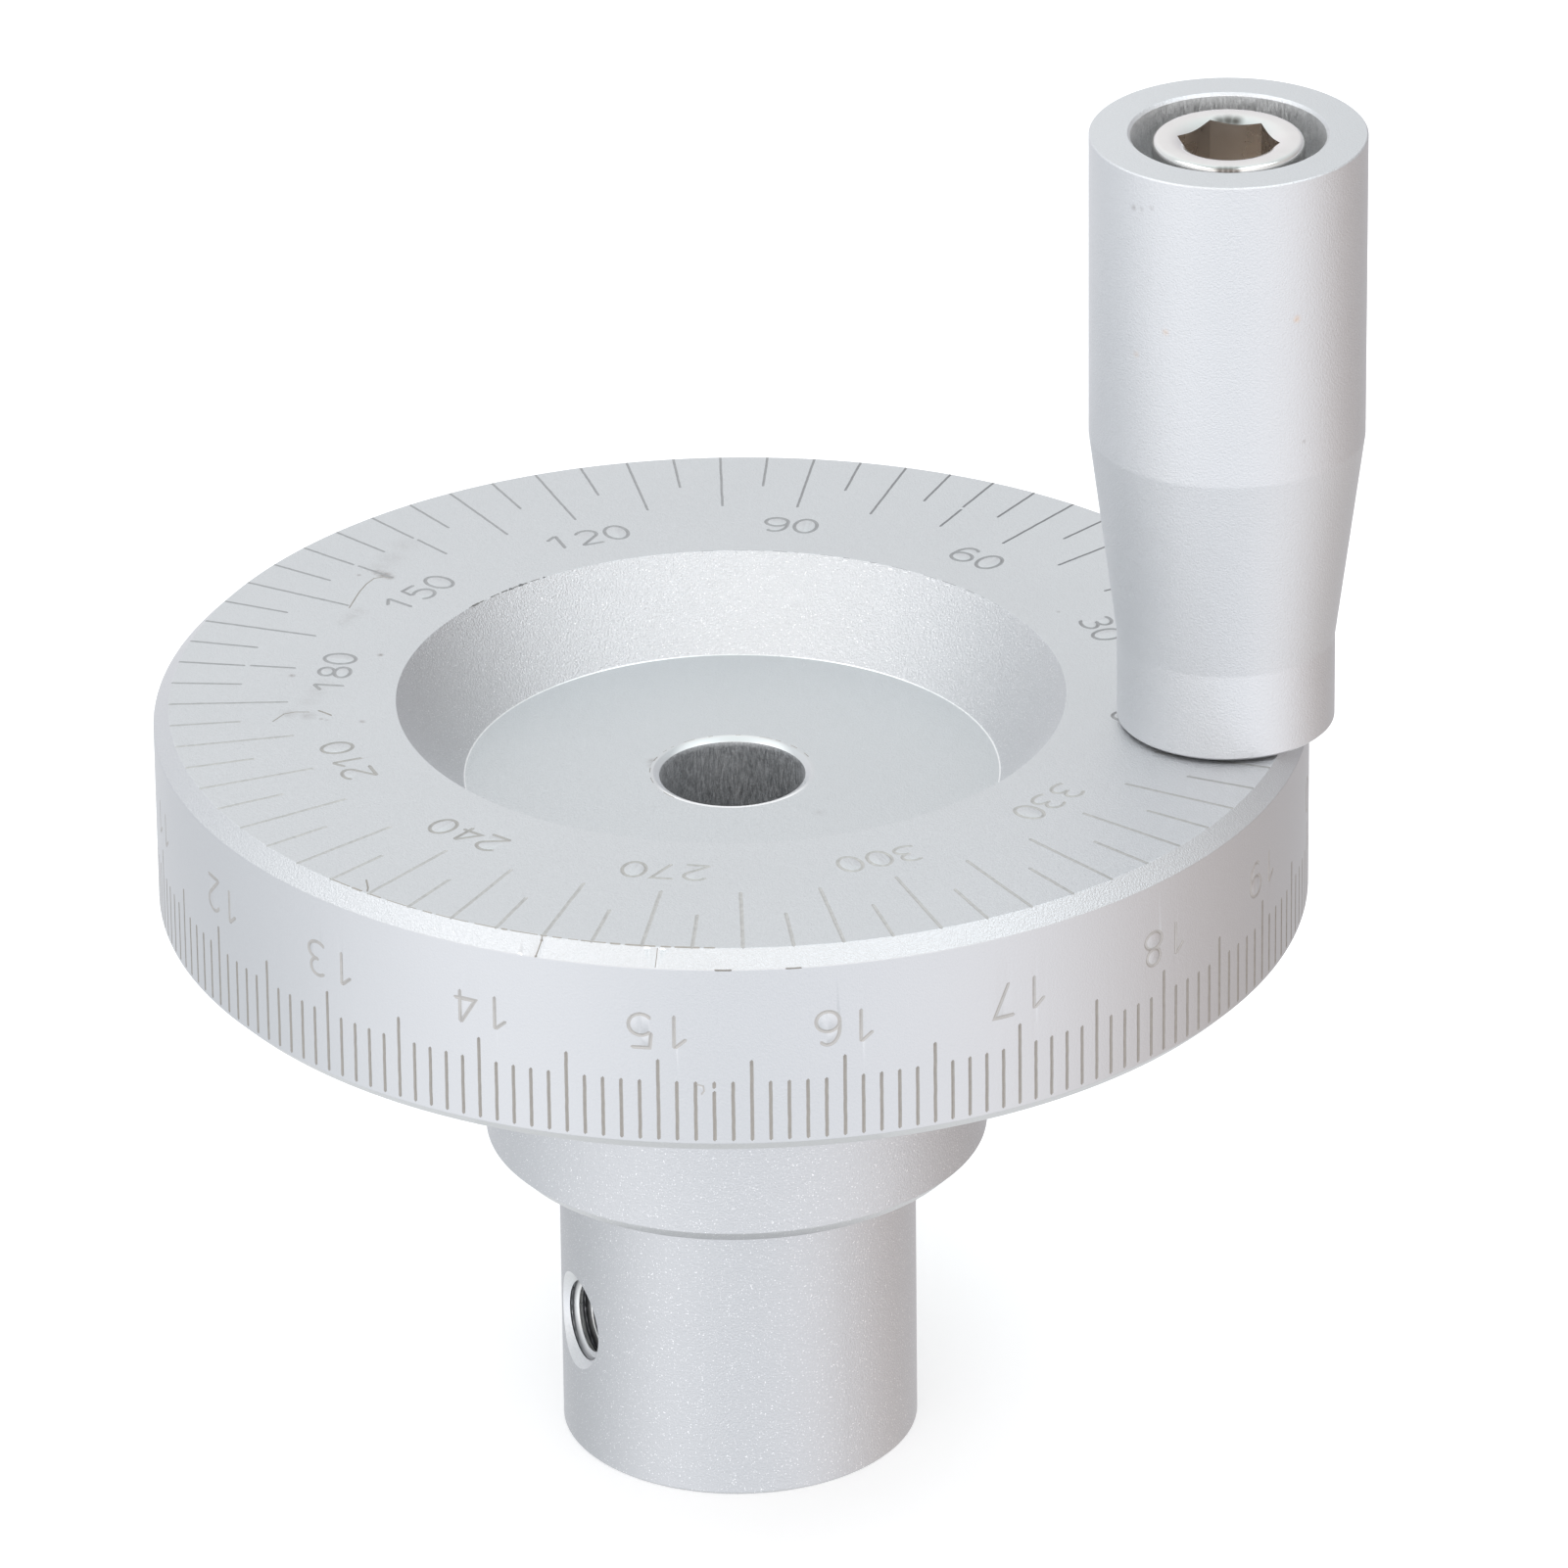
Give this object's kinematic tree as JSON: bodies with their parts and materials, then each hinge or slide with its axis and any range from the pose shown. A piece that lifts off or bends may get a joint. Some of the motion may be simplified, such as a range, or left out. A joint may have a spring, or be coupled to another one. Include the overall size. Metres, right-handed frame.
{
  "type": "machine handwheel",
  "caption": "Turned aluminium machine handwheel with a graduated dial face and rim, a dished shaft seat, a stepped hub and a revolving grip on a spindle.",
  "frame": {"origin": "on the shaft bore's axis, at the hub's bottom face", "axes": "+Z along the shaft axis towards the dial face, +X from the shaft axis towards the grip"},
  "size_m": [0.0838, 0.08, 0.1003],
  "materials": {
    "anodised_aluminium": "bead-blasted, clear anodised",
    "grip_aluminium": "bead-blasted, clear anodised",
    "plated_steel": "bright nickel plate"
  },
  "bodies": {
    "wheel": {"handwheel": "anodised_aluminium", "handle_spindle": "plated_steel"},
    "grip": {"handle_grip": "grip_aluminium"}
  },
  "joints": [
    {"name": "grip_spin", "type": "hinge", "parent": "wheel", "child": "grip", "pos_m": [0.03435, 0, 0.0785], "axis": [0, 0, 1], "continuous": true}
  ]
}
